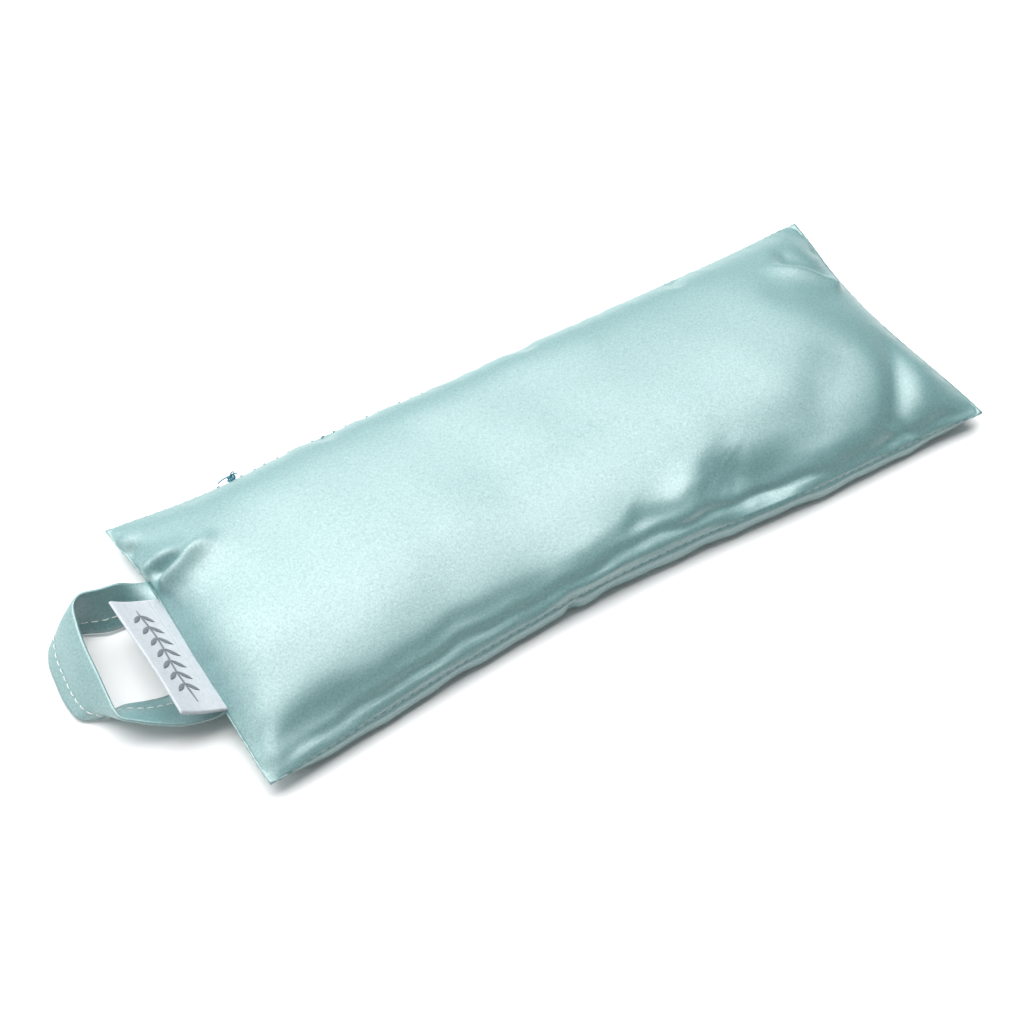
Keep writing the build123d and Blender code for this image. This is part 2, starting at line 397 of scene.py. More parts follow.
# ---- cover: macro form ----
SIM_SCALE = 10.0         # the solver behaves best at about the size of a garment
SIM_FRAMES = 45
CLOTH_SETTINGS = {
    "quality": 6, "mass": 0.1, "air_damping": 2.0,
    "tension_stiffness": 40, "compression_stiffness": 40, "shear_stiffness": 12, "bending_stiffness": 0.5,
    "tension_damping": 10, "compression_damping": 10,
    # the filling holds the bag out to a set volume
    "use_pressure": True, "use_pressure_volume": True, "target_volume": 0.26,
    "uniform_pressure_force": 0.0, "pressure_factor": 100.0, "fluid_density": 0.0,
}
SMOOTHING = 5            # passes that take the grid's own grain out of the settled cloth


def through(stations, where):
    """A smooth curve through given (place, value) stations."""
    places, values = (np.array(s, float) for s in zip(*stations))
    slopes = np.gradient(values, places)
    i = np.clip(np.searchsorted(places, where, side="right") - 1, 0, len(places) - 2)
    span = places[i + 1] - places[i]
    t = np.clip((where - places[i]) / span, 0, 1)
    return (
        (2 * t**3 - 3 * t**2 + 1) * values[i] + (t**3 - 2 * t**2 + t) * span * slopes[i]
        + (3 * t**2 - 2 * t**3) * values[i + 1] + (t**3 - t**2) * span * slopes[i + 1]
    )


def smoothstep(t):
    t = np.clip(t, 0, 1)
    return t * t * (3 - 2 * t)


def flat_bag():
    """The two panels laid flat on each other, sharing their edge: points, faces and grid indices."""
    across, along = CELLS_Y + 1, CELLS_X + 1
    u = np.linspace(-1, 1, along)
    v = np.linspace(-1, 1, across)
    lift = 0.9 * np.outer(1 - v**4, 1 - u**4)
    top = np.stack(np.broadcast_arrays(u * FLAT_LENGTH / 2, v[:, None] * FLAT_WIDTH / 2, 3.0 + lift), -1)
    points = list(top.reshape(-1, 3))
    top_index = np.arange(across * along).reshape(across, along)
    bottom_index = top_index.copy()
    for i in range(1, across - 1):
        for j in range(1, along - 1):
            bottom_index[i, j] = len(points)
            points.append((*top[i, j, :2], 3.0 - lift[i, j]))
    faces = []
    for i in range(across - 1):
        for j in range(along - 1):
            a, b, c, d = (i, j), (i, j + 1), (i + 1, j + 1), (i + 1, j)
            faces.append([int(top_index[k]) for k in (a, b, c, d)])
            faces.append([int(bottom_index[k]) for k in (d, c, b, a)])
    return np.array(points), faces, top_index, bottom_index


def plain_cover():
    """The filled bag's rough form, from which the cloth starts."""
    v, u = np.meshgrid(np.linspace(-1, 1, CELLS_Y + 1), np.linspace(-1, 1, CELLS_X + 1), indexing="ij")
    swell = (1 - np.abs(v) ** 3) ** 0.6 * (1 - np.abs(u) ** 8) ** 0.6
    x, y = u * HALF_LENGTH, v * HALF_WIDTH * (1 - 0.06 * (1 - u**4))
    top = np.stack([x, y, SEAM_HEIGHT + (THICKNESS - SEAM_HEIGHT) * swell], -1)
    bottom = np.stack([x, y, SEAM_HEIGHT * (1 - swell)], -1)
    return top, bottom


def simulate_cover():
    """Settles the bag on the floor as cloth and returns the grid of its top panel.

    Its rest shape is flat; it starts filled and its filling's pressure holds it up.
    """
    points, faces, top_index, bottom_index = flat_bag()
    start_top, start_bottom = plain_cover()
    filled = points.copy()
    filled[bottom_index.ravel()] = start_bottom.reshape(-1, 3)
    filled[top_index.ravel()] = start_top.reshape(-1, 3)
    mesh = bpy.data.meshes.new("bag")
    mesh.from_pydata([tuple(p) for p in points * MM * SIM_SCALE], [], faces)
    mesh.update()
    bag = new_object("bag", mesh)
    rest = bag.shape_key_add(name="flat")
    start = bag.shape_key_add(name="filled")
    start.data.foreach_set("co", (filled * MM * SIM_SCALE).ravel())
    start.value = 1.0
    ground = new_object("ground", square_mesh("ground", 4.0))
    ground.modifiers.new("Collision", "COLLISION")
    ground.collision.thickness_outer = 0.01
    ground.collision.cloth_friction = 30.0
    cloth = bag.modifiers.new("Cloth", "CLOTH")
    cloth.settings.rest_shape_key = rest
    for setting, value in CLOTH_SETTINGS.items():
        setattr(cloth.settings, setting, value)
    cloth.collision_settings.distance_min = 0.008
    cloth.collision_settings.collision_quality = 3
    cloth.collision_settings.use_self_collision = False
    scene = bpy.context.scene
    for number in range(1, SIM_FRAMES + 1):
        scene.frame_set(number)
    evaluated = bag.evaluated_get(bpy.context.evaluated_depsgraph_get())
    settled = np.array([v.co for v in evaluated.data.vertices]) / (MM * SIM_SCALE)
    scene.frame_set(1)
    bpy.data.objects.remove(bag)
    bpy.data.objects.remove(ground)
    return settled[top_index]


def smooth_grid(grid, passes):
    """Binomial smoothing that leaves the border rows and columns in place."""
    grid = grid.copy()
    for _ in range(passes):
        grid[1:-1, :] = 0.25 * grid[:-2, :] + 0.5 * grid[1:-1, :] + 0.25 * grid[2:, :]
        grid[:, 1:-1] = 0.25 * grid[:, :-2] + 0.5 * grid[:, 1:-1] + 0.25 * grid[:, 2:]
    return grid


def refine(grid, factor):
    """Resamples a grid more finely with a smooth curve along rows and columns."""
    def along_rows(g):
        rows, columns = g.shape[:2]
        where = np.linspace(0, columns - 1, (columns - 1) * factor + 1)
        i = np.minimum(where.astype(int), columns - 2)
        t = (where - i)[None, :, None]
        g = np.concatenate([2 * g[:, :1] - g[:, 1:2], g, 2 * g[:, -1:] - g[:, -2:-1]], 1)
        a, b, c, d = (g[:, i + k] for k in range(4))
        squared, cubed = (2 * a - 5 * b + 4 * c - d) * t**2, (3 * b - a - 3 * c + d) * t**3
        return 0.5 * (2 * b + (c - a) * t + squared + cubed)
    return along_rows(along_rows(grid).transpose(1, 0, 2)).transpose(1, 0, 2)


# How far each seam lies inside the straight line between its corners, and its height.
NEAR_INSET = [
    (-125, 0), (-100, 2.3), (-62, 5.3), (-22, 7), (13, 6.3), (58, 3), (88, 2.2), (112, 1.4), (125, 0),
]
FAR_INSET = [(-125, 0), (-98, 2.6), (-60, 1.6), (-10, 1.8), (50, 1.4), (95, 1.2), (125, 0)]
LOOP_END_INSET = [(-46.75, 0), (-22, 0.8), (0, 1.4), (22, 2.4), (34, 1.8), (46.75, 0)]
PLAIN_END_INSET = [(-46.75, 0), (-30, 1.2), (-10, 2.4), (12, 2.9), (25, 2.4), (38, 1), (46.75, 0)]
PLAIN_END_HEIGHT = [(-46.75, 5.6), (-25, 5), (0, 3.8), (20, 4), (35, 5.2), (46.75, 6)]
LOOP_END_HEIGHT = [(-46.75, 6), (-20, 6.4), (10, 6.6), (25, 6.6), (35, 5.6), (46.75, 6)]
NEAR_HEIGHT = [(-125, 6), (-95, 6.8), (-40, 7.4), (0, 8), (45, 7.4), (90, 6.4), (125, 5.6)]
FAR_HEIGHT = [(-125, 6), (-60, 6.6), (0, 6.2), (70, 6.4), (125, 6)]
NEAR_ROUNDING = 0.8      # how far the near shoulder follows a full rounding instead of the settled one
FAR_ROUNDING = 0.45
CORNER_ROUNDING = 1.8    # how far the panel's four corners are drawn in
CROWN = 20.6             # the top panel's height before its folds are added
HIGHEST = 22.3           # no fold stands higher than this


def seam_lines(x, y):
    """Where the seams run, for flat positions x and y: near y, far y, loop end x, plain end x."""
    return (
        -HALF_WIDTH + through(NEAR_INSET, x), HALF_WIDTH - through(FAR_INSET, x),
        -HALF_LENGTH + through(LOOP_END_INSET, y), HALF_LENGTH - through(PLAIN_END_INSET, y),
    )


def seam_height(x, y):
    """Seam height blended from the four sides, exact on each of them."""
    u, v = x / HALF_LENGTH, y / HALF_WIDTH
    sides = [
        (through(NEAR_HEIGHT, x), 1 + v), (through(FAR_HEIGHT, x), 1 - v),
        (through(LOOP_END_HEIGHT, y), 1 + u), (through(PLAIN_END_HEIGHT, y), 1 - u),
    ]
    weights = [1 / (gap + 1e-4) for _, gap in sides]
    return sum(h * w for (h, _), w in zip(sides, weights)) / sum(weights)


def place_in_seams(x, y):
    """Moves flat positions so that the four borders follow the seam lines."""
    near, far, loop, plain = seam_lines(x, y)
    v, u = (y / HALF_WIDTH + 1) / 2, (x / HALF_LENGTH + 1) / 2
    px, py = loop + (plain - loop) * u, near + (far - near) * v
    over_x = np.maximum(np.abs(px) - (HALF_LENGTH - CORNER_ROUNDING), 0)
    over_y = np.maximum(np.abs(py) - (HALF_WIDTH - CORNER_ROUNDING), 0)
    pull = 1 - np.maximum(over_x, over_y) / (np.hypot(over_x, over_y) + 1e-9)
    return px - np.sign(px) * over_x * pull, py - np.sign(py) * over_y * pull


# ---- cover: folds ----
# Each fold is a ridge (or with a negative height a valley) along a few points on the top panel:
# (points, height, core radius, width on its left, width on its right, fade in, fade out if it fades).
FOLDS = [
    # the V-shaped crease by the loop's far root
    ([(-123, 28.5), (-116, 26), (-107, 22.8)], 2, 0.5, 2.8, 1.5, 0.12, 0.4),
    ([(-121.5, 19.6), (-114.5, 20.6), (-106.5, 22.6), (-100, 24.5)], 3.2, 0.3, 1.3, 3.6, 0.1, 0.45),
    ([(-121, 24.2), (-111, 23.2)], -2.6, 0.9, 2.2, 1.6, 0.15, 0.4),
    ([(-124.5, 36.5), (-119, 33.5)], -1, 0.6, 1.6, 1.6, 0.1, 0.6),
    ([(-124.5, 40.5), (-117, 38)], 0.5, 0.8, 1.6, 1.6, 0.1, 0.6),
    # slack cloth of the loop end
    ([(-114, -4), (-109, -12)], 0.9, 5, 7, 7),
    ([(-108, 9), (-100, 5), (-94, 4)], -0.4, 4, 6, 6),
    ([(-101, 33), (-92, 24), (-88, 17)], -0.9, 5, 7, 7),
    ([(-72, -15), (-58, -6), (-48, -3)], 0.7, 6, 9, 9),
    ([(-90, -24), (-70, -22), (-58, -20)], -0.5, 5, 7, 7),
    ([(-121, -42), (-112, -38.5), (-98, -37.5), (-84, -38)], -1.5, 1.2, 3.5, 3.5, 0.3, 0.5),
    # the near shoulder with its notch and the large dimple to the right of it
    ([(-26, -36), (-18, -34.5), (-10, -33.5)], 0.9, 3, 4.5, 4.5),
    ([(9, -35), (18, -32.5), (25, -27), (28, -19)], 1.3, 2.5, 4, 3, 0.35, 0.45),
    ([(1, -26), (3, -30), (3.5, -35)], -0.7, 1.6, 3.2, 3.2, 0.6, 0.6),
    ([(-24, -37), (-26, -45)], -1.5, 0.8, 2.4, 2, 0.45, 0),
    ([(32, -20), (35, -30), (42, -36), (55, -37), (70, -38)], -3, 3, 4.5, 5, 0.35, 0.5),
    ([(44, -24), (56, -26), (68, -29)], -0.9, 5, 6, 6),
    ([(70, 1), (80, 4), (88, 6)], 0.5, 8, 8, 8),
    # the plain end
    ([(92, 29.5), (101, 25.5), (108, 20.5), (116, 12)], 1.5, 0.5, 2, 3.6, 0.5, 0.1),
    ([(100, 33), (109, 27.5), (117, 18)], -2.2, 2, 4, 2.4, 0.35, 0.15),
    ([(114, -7), (111, -12), (107.5, -21), (101, -31), (92, -42)], -2.1, 1.4, 4.2, 3.4, 0.55, 0.1),
    ([(118, -14), (114, -21), (108, -30), (97, -43)], 0.8, 4, 8, 4, 0.6, 0.08),
    ([(88, -13), (84, -16), (80, -19)], -0.6, 4, 5, 5),
    ([(94, 16), (100, 13), (106, 10)], -0.6, 4, 5, 5),
    ([(88.5, -34), (89.5, -45)], -0.8, 0.8, 2.6, 3, 0.6, 0.1),
    # the far side, out of the usual view
    ([(-60, 38), (-54, 46)], -1, 0.8, 2, 2.6, 0.4, 0),
    ([(14, 37), (11, 46)], -0.9, 0.8, 2.6, 2, 0.4, 0),
    ([(66, 36), (72, 46)], -1.1, 1, 2.2, 2.2, 0.4, 0),
    ([(-26, 31), (-4, 33), (26, 32)], 0.6, 4, 6, 5),
]

# The two creases that run along the near flank: their distance from the seam along the panel, and depth.
FLANK_PLACE = [(-125, 3.2), (-100, 4.4), (-60, 5.2), (-25, 4.6), (5, 6), (40, 4.6), (80, 3.2), (125, 2.6)]
FLANK_DEPTH = [
    (-125, 0), (-108, 0.5), (-70, 0.9), (-30, 0.6), (-5, 0.8), (35, 0.9), (75, 0.6), (112, 0.8), (125, 0),
]
SECOND_PLACE = [(-125, 6.5), (-90, 9), (-50, 10), (-15, 8.5), (15, 11), (125, 8)]
SECOND_DEPTH = [(-125, 0), (-100, 0.2), (-60, 0.6), (-30, 0.2), (10, 0.5), (40, 0), (125, 0)]
STITCH_PITCH = 3.0       # of the bag's seams
STITCH_LENGTH = 1.9
SEAM_THREAD_RADIUS = 0.14
PIT_REACH = 1.1          # how far from the seam its stitches dent the cloth


def fold_heights(x, y):
    """The sum of all folds at each point of the panel."""
    total = np.zeros_like(x)
    for points, height, core, left, right, *fades in FOLDS:
        hand_set = np.array(points, float)
        path = spline(hand_set, 16) if len(points) > 2 else np.linspace(*hand_set, 8)
        best, side, place = np.full(x.shape, 1e9), np.zeros_like(x), np.zeros_like(x)
        count = len(path) - 1
        for k in range(count):
            (ax, ay), (bx, by) = path[k], path[k + 1]
            dx, dy = bx - ax, by - ay
            t = np.clip(((x - ax) * dx + (y - ay) * dy) / (dx * dx + dy * dy), 0, 1)
            ox, oy = x - ax - t * dx, y - ay - t * dy
            gap = np.hypot(ox, oy)
            nearer = gap < best
            best = np.where(nearer, gap, best)
            side = np.where(nearer, dx * oy - dy * ox, side)
            place = np.where(nearer, (k + t) / count, place)
        width = np.where(side > 0, left, right)
        strength = height
        for fade, from_end in zip(fades, (place, 1 - place)):
            if fade:
                strength = strength * smoothstep(from_end / fade)
        reach = (np.sqrt(best**2 + core**2) - core) / width
        total += strength * np.exp(-(reach**1.5))
    return total


def waves(place, seed, lengths, size):
    """An uneven ripple along one line: a few sines of given wavelengths, seeded."""
    chooser = np.random.default_rng(seed)
    total = np.zeros_like(place)
    for length in lengths:
        total += chooser.uniform(0.5, 1.0) * np.sin(2 * math.pi * place / length + chooser.uniform(0, 6.28))
    return size * total / len(lengths)


def stitch_pits(place, gap, depth):
    """Small dents where the seam's thread pulls the cloth in, at each stitch."""
    at_stitch = (0.5 + 0.5 * np.cos(2 * math.pi * place / STITCH_PITCH)) ** 2
    return -depth * at_stitch * np.exp(-((gap / PIT_REACH) ** 2))


def normals_of(grid):
    found = np.cross(np.gradient(grid, axis=1), np.gradient(grid, axis=0))
    return found / (np.linalg.norm(found, axis=2)[..., None] + 1e-12)


def panel_distances(grid):
    """Distance along the panel from its near, far, loop end and plain end seam."""
    rows = np.linalg.norm(np.diff(grid, axis=0), axis=2)
    columns = np.linalg.norm(np.diff(grid, axis=1), axis=2)
    near = np.vstack([np.zeros((1, grid.shape[1])), np.cumsum(rows, 0)])
    loop = np.hstack([np.zeros((grid.shape[0], 1)), np.cumsum(columns, 1)])
    return near, near[-1:] - near, loop, loop[:, -1:] - loop


def set_border(grid, source):
    """Gives a grid the border rows and columns of another."""
    grid[0], grid[-1], grid[:, 0], grid[:, -1] = source[0], source[-1], source[:, 0], source[:, -1]


def round_border(grid):
    """The border of a grid, once round from its first corner."""
    return np.concatenate([grid[0], grid[1:, -1], grid[-1, -2::-1], grid[-2:0:-1, 0]])


def rounded_swell(settled):
    """How far each point of the settled top stands between the seams and the crown, from 0 to 1."""
    border = np.concatenate([settled[0], settled[-1], settled[:, 0], settled[:, -1]])
    low = border[:, 2].mean()
    swell = np.clip((settled[..., 2] - low) / (settled[..., 2].max() - low), 0, 1)
    v = np.linspace(-1, 1, swell.shape[0])[:, None]
    u = np.linspace(-1, 1, swell.shape[1])
    share = np.where(v < 0, NEAR_ROUNDING, FAR_ROUNDING) * smoothstep((1 - np.abs(u)) / 0.12)
    swell = (1 - share) * swell + share * (1 - np.abs(v) ** 2.5) ** 0.62 * swell.max(0)[None, :]
    set_border(swell, np.zeros_like(swell))
    return swell


def shape_top(settled):
    """The finished top panel: the settled crown set into its seams, with all of its folds."""
    flat = settled[..., :2] * np.array([HALF_LENGTH, HALF_WIDTH]) / np.abs(settled[..., :2]).max((0, 1))
    half_y = np.abs(flat[0, :, 1])[None, :]
    half_x = np.abs(flat[:, 0, 0])[:, None]
    x, y = flat[..., 0] * HALF_LENGTH / half_x, flat[..., 1] * HALF_WIDTH / half_y
    seam = seam_height(x, y)
    px, py = place_in_seams(x, y)
    coarse = np.stack([px, py, seam + (CROWN - seam) * rounded_swell(settled)], -1)
    grid = refine(smooth_grid(coarse, SMOOTHING), REFINE)
    near, far, loop, plain = panel_distances(grid)
    x, y = grid[..., 0], grid[..., 1]
    rise = fold_heights(x, y)
    # the creases along the near flank, and the roll of cloth beside each long seam
    for place, depth, width in ((FLANK_PLACE, FLANK_DEPTH, 1.7), (SECOND_PLACE, SECOND_DEPTH, 2.8)):
        line = through(place, x) + waves(x, 5, (17, 29, 53), 1.2)
        rise -= through(depth, x) * np.exp(-(((near - line) / width) ** 2))
    bulge = 0.4 * smoothstep((125 - np.abs(x)) / 30) * (1 + waves(x, 8, (19, 31, 57), 0.9))
    rise += bulge * np.exp(-(((near - 2.4) / 1.3) ** 2)) + 0.4 * bulge * np.exp(-(((far - 2.2) / 1.4) ** 2))
    # slack along the seams drawn up into small puckers
    for gap, place, seed, size, pit in (
        (near, x, 1, 0.35, 0.1), (far, x, 2, 0.5, 0.28), (loop, y, 3, 0.6, 0.3), (plain, y, 4, 0.7, 0.34),
    ):
        skew = place + 0.35 * gap * np.sin(place / 17.0)
        puckers = waves(skew, seed, (6.5, 9.5, 14, 22), size)
        rise += puckers * np.exp(-((gap / 7.0) ** 1.5)) * smoothstep(gap / 2.5)
        rise += stitch_pits(place, gap, pit)
    # the grain inside shows as a faint unevenness of the crown
    rise += waves(x + 0.6 * y, 6, (33, 47, 71), 0.22) + waves(y - 0.4 * x, 7, (27, 38, 60), 0.2)
    border_gap = np.minimum(np.minimum(near, far), np.minimum(loop, plain))
    rise *= smoothstep(0.1 + border_gap / 3.0)
    set_border(rise, np.zeros_like(rise))
    grid = grid + normals_of(smooth_grid(grid, 4)) * rise[..., None]
    grid[..., 2] = np.minimum(grid[..., 2], HIGHEST)
    return grid


REST_SIDE = 4.2          # from a long seam in to the flat underside
REST_END = 14.0          # and from an end seam


def stretched_between(border):
    """A grid stretched evenly between the border rows and columns of another."""
    rows, columns = border.shape[:2]
    across = np.linspace(0, 1, rows)[:, None, None]
    along = np.linspace(0, 1, columns)[None, :, None]
    edge = border[:1] * (1 - across) + border[-1:] * across
    sides = border[:, :1] * (1 - along) + border[:, -1:] * along
    corners = (
        (border[0, 0] * (1 - across) + border[-1, 0] * across) * (1 - along)
        + (border[0, -1] * (1 - across) + border[-1, -1] * across) * along
    )
    return edge + sides - corners


def shape_bottom(top):
    """The bottom panel: it bulges out under the side seams and lies flat on the floor."""
    grid = stretched_between(top)
    height = grid[..., 2].copy()
    near, far, loop, plain = panel_distances(grid * np.array([1, 1, 0]))
    side_gap, end_gap = np.minimum(near, far), np.minimum(loop, plain)
    x, y = grid[..., 0], grid[..., 1]
    turn = np.clip(side_gap / REST_SIDE, 0, 1)
    side_drop = 1 - (1 - turn**0.75) ** 1.9
    end_drop = smoothstep(end_gap / REST_END) ** 0.7
    held = smoothstep(end_gap / 30.0)
    grid[..., 2] = height * (1 - side_drop * end_drop)
    bulge = 1.8 * held * np.exp(-(((side_gap - 1.7) / 1.7) ** 2)) * np.where(near < far, 1.0, 0.5)
    bulge *= 1 + waves(x, 11, (17, 29, 53), 0.5)
    notch = 1.6 * np.exp(-(((x + 25) / 2.4) ** 2)) * np.exp(-((near / 4.0) ** 2))
    grid[..., 1] += np.where(near < far, notch - bulge, bulge) * smoothstep(side_gap / 0.8)
    ripple = waves(y, 12, (7, 11, 17), 0.4) * np.exp(-((end_gap / 6.0) ** 1.5)) * smoothstep(end_gap / 2.0)
    side_ripple = waves(x, 13, (8, 13, 21), 0.3) * np.exp(-(((side_gap - 2.5) / 3.0) ** 2))
    side_ripple *= smoothstep(side_gap / 2)
    lift = (ripple * smoothstep(side_gap / 2.0) + side_ripple * held) * smoothstep(grid[..., 2])
    for gap, place, pit in ((near, x, 0.08), (far, x, 0.22), (loop, y, 0.25), (plain, y, 0.25)):
        lift -= stitch_pits(place, gap, pit) * smoothstep(gap / 0.6)
    grid[..., 2] = np.maximum(grid[..., 2] + lift, 0.0)
    set_border(grid, top)
    return grid


def thick_sheet(grid, thickness, outwards):
    """A grid with cloth thickness on its inner side, closed round its border."""
    rows, columns = grid.shape[:2]
    inner = grid - normals_of(grid) * thickness * outwards
    points = np.vstack([grid.reshape(-1, 3), inner.reshape(-1, 3)])
    outer_faces = grid_faces(rows, columns)
    start = rows * columns
    faces = outer_faces + [tuple(v + start for v in f[::-1]) for f in outer_faces]
    ring = round_border(np.arange(start).reshape(rows, columns)).tolist()
    for a, b in zip(ring, ring[1:] + ring[:1]):
        faces.append((b, a, a + start, b + start))
    if outwards < 0:
        faces = [f[::-1] for f in faces]
    return points, faces


# ---- strap and label: folded strips ----
class Strip:
    """Cloth folded double lengthwise, between its line of folding and its line of open edges."""

    def __init__(self, folds, opens, half, gap, bow, swell=None):
        self.opens, self.half, self.gap, self.bow = opens, half, gap, bow
        self.width = np.linalg.norm(folds - opens, axis=1)
        across = (folds - opens) / self.width[:, None]
        middle = (folds + opens) / 2
        along = np.gradient(middle, axis=0)
        along /= np.linalg.norm(along, axis=1)[:, None]
        normal = np.cross(along, across)
        self.across, self.normal = across, normal / np.linalg.norm(normal, axis=1)[:, None]
        self.run = run_along(middle)
        self.swell = swell or (lambda run, share, side: 1.0)

    def at(self, k, inwards, offset):
        """The point at station k, that far in from the open edge and off the middle surface."""
        share = inwards / self.width[k]
        offset = offset + self.bow(self.run[k], share)
        return self.opens[k] + self.across[k] * inwards + self.normal[k] * offset

    def at_run(self, run, inwards, offset):
        """The same at a length along the strip instead of a station."""
        k = min(max(int(np.searchsorted(self.run, run)) - 1, 0), len(self.run) - 2)
        t = (run - self.run[k]) / (self.run[k + 1] - self.run[k])
        return self.at(k, inwards, offset) * (1 - t) + self.at(k + 1, inwards, offset) * t

    def section(self, k, radius):
        """One U-shaped line of points at station k: down one layer, round the fold, and back."""
        reach = self.width[k] - self.half
        straight = np.linspace(0, reach, 13)[:-1]
        upper, lower = [
            [(w, side * radius * self.swell(self.run[k], w / self.width[k], side)) for w in straight]
            for side in (1, -1)
        ]
        angles = np.linspace(math.pi / 2, -math.pi / 2, 7)
        fold = [(reach + radius * math.cos(a), radius * math.sin(a)) for a in angles]
        return [self.at(k, w, n) for w, n in upper + fold + lower[::-1]]

    def mesh(self):
        count = len(self.run)
        rows = [self.section(k, self.half) + self.section(k, self.gap)[::-1] for k in range(count)]
        size = len(rows[0])
        faces = grid_faces(count, size, closed_columns=True)
        for start in (0, (count - 1) * size):
            for j in range(size // 2 - 1):
                quad = (start + j, start + j + 1, start + size - 2 - j, start + size - 1 - j)
                faces.append(quad[::-1] if start == 0 else quad)
        return np.array(rows).reshape(-1, 3), faces


# One stitch: how far along its length, and how deep below the cloth's surface the thread lies there.
STITCH_PROFILE = [(0, 0.32), (0.12, 0.06), (0.3, -0.04), (0.5, -0.07), (0.7, -0.04), (0.88, 0.06), (1, 0.32)]


def running_stitch(point_at, start, end, pitch, radius):
    """Stitches along a line: point_at(place, depth) gives a point on it, sunk by depth."""
    chunks = []
    place = start
    while place + STITCH_LENGTH < end:
        line = [point_at(place + share * STITCH_LENGTH, depth) for share, depth in STITCH_PROFILE]
        chunks.append(tube(line, radius))
        place += pitch
    return chunks


def strap_strip():
    """The loop's strap: pinched in along its stitching, full beside it, and a little uneven."""
    stations = np.array([fold + opened for fold, opened in STRAP_STATIONS], float)
    line = spline(stations, 400)
    run = run_along(line[:, :3])
    line = at_length(np.linspace(0, run[-1], 190), run, line)  # evenly spaced

    def swell(run, share, side):
        from_hem = share * STRAP_WIDTH
        pinch = 0.32 * math.exp(-((from_hem - STITCH_ROW) / 1.1) ** 2)
        full = 0.55 * math.exp(-((share - 0.66) / 0.24) ** 2)
        ripple = 0.16 * math.sin(run / 2.1 + 2.0 * side) * math.exp(-((from_hem - STITCH_ROW) / 2.6) ** 2)
        return 1.0 - pinch + full + ripple

    def bow(run, share):
        arch = 0.5 * math.sin(math.pi * share) * math.sin(run / 11.0)
        return arch + 0.18 * math.sin(run / 3.7 + 4 * share)

    return Strip(line[:, :3], line[:, 3:], STRAP_HALF, STRAP_GAP, bow, swell)


def label_strip(first_reach, last_reach, rise):
    """The label between two distances from the pillow's end along its own slope."""
    sides = np.linspace(LABEL_FAR_Y, LABEL_NEAR_Y, 61)
    slope = math.radians(LABEL_TILT)
    lines = []
    for reach in (last_reach, first_reach):
        sway = 0.35 * np.sin((sides - LABEL_NEAR_Y) / 9.0) * reach / LABEL_DEPTH
        lines.append(np.stack([
            LABEL_ROOT.x - reach * math.cos(slope) + sway * math.sin(slope),
            sides - 0.02 * reach * (sides - LABEL_NEAR_Y) / (LABEL_FAR_Y - LABEL_NEAR_Y),
            LABEL_ROOT.z + reach * math.sin(slope) + sway * math.cos(slope),
        ], 1))
    return Strip(*lines, LABEL_HALF, LABEL_GAP, lambda run, share: rise * math.sin(math.pi * share))


def seam_row(path, start, end, outwards):
    """Stitches in a seam's groove between two lengths along it; a negative end counts from its far end."""
    run = run_along(path)
    outwards = np.array(outwards, float)

    def point_at(place, depth):
        return at_length(place, run, path) - outwards * (depth + SEAM_THREAD_RADIUS)
    stop = end if end > 0 else run[-1] + end
    return running_stitch(point_at, start, stop, STITCH_PITCH, SEAM_THREAD_RADIUS)


def place_piece(name, points, faces, material, body, slot, *nodes):
    """Makes a smooth piece from points in millimetres, in the place of its CAD nodes; slot is not used.

    It rides on body, unless that is None.
    """
    mesh = bpy.data.meshes.new(name)
    mesh.from_pydata([tuple(p) for p in np.asarray(points, float) * MM], [], [tuple(f) for f in faces])
    mesh.validate()
    mesh.update()
    mesh.polygons.foreach_set("use_smooth", [True] * len(mesh.polygons))
    mesh.materials.append(material)
    piece = new_object(name, mesh)
    if body:
        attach(piece, body)
    if nodes:
        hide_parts(*nodes)
    return piece


make_camera()
make_studio()
TEAL_SATIN = (0.075, 0.205, 0.215), (0.17, 0.345, 0.345)
SATIN = satin("satin", *TEAL_SATIN)
STRAP_SATIN = satin("strap_satin", *TEAL_SATIN, 60)
SEAM_THREAD = thread_material("seam_thread", (0.10, 0.24, 0.25))
TEAL_THREAD = thread_material("teal_thread", (0.02, 0.20, 0.28))
WHITE_THREAD = thread_material("white_thread", (0.80, 0.82, 0.80))
MUSLIN = woven("muslin", (0.55, 0.50, 0.41), (0.80, 0.76, 0.66), 2400, 0.85, 0.6)
MUSLIN_THREAD = thread_material("muslin_thread", (0.74, 0.71, 0.63))
WOVEN_LABEL = woven("woven_label", (0.44, 0.48, 0.52), (0.62, 0.66, 0.70), 5200, 0.55, 0.5)
LABEL_YARN = thread_material("label_yarn", (0.16, 0.19, 0.22))
SEED = speckled("flax_seed", (0.10, 0.045, 0.018), (0.30, 0.15, 0.06), 0.35)
LAVENDER = speckled("lavender", (0.13, 0.10, 0.20), (0.30, 0.25, 0.42), 0.8)

# ---- cover panels ----
settled = simulate_cover()
top_grid = shape_top(settled)
bottom_grid = shape_bottom(top_grid)
for name, grid, outwards in (("cover_top", top_grid, 1), ("cover_bottom", bottom_grid, -1)):
    panel = place_piece(name, *thick_sheet(grid, CLOTH, outwards), SATIN, "pillow", "satin", name + "_panel")

